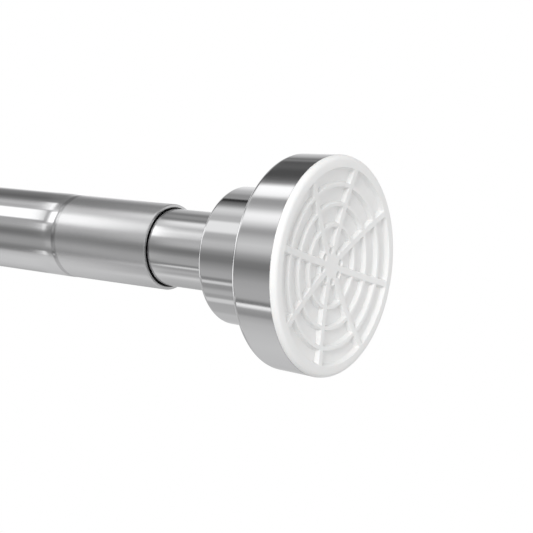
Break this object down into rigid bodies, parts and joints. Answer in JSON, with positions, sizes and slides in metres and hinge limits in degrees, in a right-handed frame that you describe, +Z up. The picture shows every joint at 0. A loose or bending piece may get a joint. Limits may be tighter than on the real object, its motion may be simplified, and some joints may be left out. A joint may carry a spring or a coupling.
{
  "type": "spring tension rod",
  "caption": "Telescoping stainless spring tension rod with a twist lock, two-tier end caps and web-patterned rubber pads that press against two facing walls.",
  "frame": {"origin": "centre of the wall face of the pad on the outer tube's end", "axes": "+X along the rod, towards the sliding end; +Z up; -X into the wall that holds the fixed end"},
  "size_m": [0.4, 0.058, 0.058],
  "materials": {
    "tube_steel": "polished to satin",
    "cap_steel": "bright satin",
    "white_rubber": "matt moulded",
    "black_nylon": "moulded",
    "white_nylon": "moulded",
    "zinc_steel": "zinc plated",
    "spring_steel": "drawn wire"
  },
  "bodies": {
    "outer_tube_body": {"outer_tube": "tube_steel", "mouth_bushing": "black_nylon", "fixed_cap_cover": "cap_steel", "fixed_cap_core": "black_nylon", "fixed_core_screw": "zinc_steel", "fixed_core_wedge": "zinc_steel", "fixed_pad": "white_rubber"},
    "lock_body": {"lock_sleeve": "white_nylon"},
    "cone_body": {"lock_cone": "black_nylon"},
    "spindle_body": {"spindle": "zinc_steel", "spindle_clip": "spring_steel", "thrust_washer": "zinc_steel", "spring_piston": "black_nylon", "piston_nut": "zinc_steel"},
    "inner_tube_body": {"inner_tube": "tube_steel", "guide_plug": "black_nylon", "compression_spring": "spring_steel", "spring_washer": "zinc_steel", "spring_stop": "black_nylon", "stop_pin": "zinc_steel", "sliding_cap_cover": "cap_steel", "sliding_cap_core": "black_nylon", "sliding_core_screw": "zinc_steel", "sliding_core_wedge": "zinc_steel", "sliding_pad": "white_rubber"}
  },
  "joints": [
    {"name": "tube_extension", "type": "slide", "parent": "outer_tube_body", "child": "lock_body", "axis": [1, 0, 0], "range_m": [0, 0.19]},
    {"name": "cone_draw", "type": "slide", "parent": "lock_body", "child": "cone_body", "axis": [1, 0, 0], "range_m": [0, 0.0023]},
    {"name": "twist_lock", "type": "hinge", "parent": "lock_body", "child": "spindle_body", "pos_m": [0.05, 0, 0], "axis": [1, 0, 0], "range_deg": [0, 240]},
    {"name": "spring_take_up", "type": "slide", "parent": "spindle_body", "child": "inner_tube_body", "axis": [1, 0, 0], "range_m": [-0.02, 0], "stiffness_N_per_m": 3000, "springref_m": 0.008, "deforming": ["compression_spring"]}
  ],
  "couplings": [
    {"joint": "cone_draw", "follows": "twist_lock", "m_per_rad": 0.00047746}
  ]
}
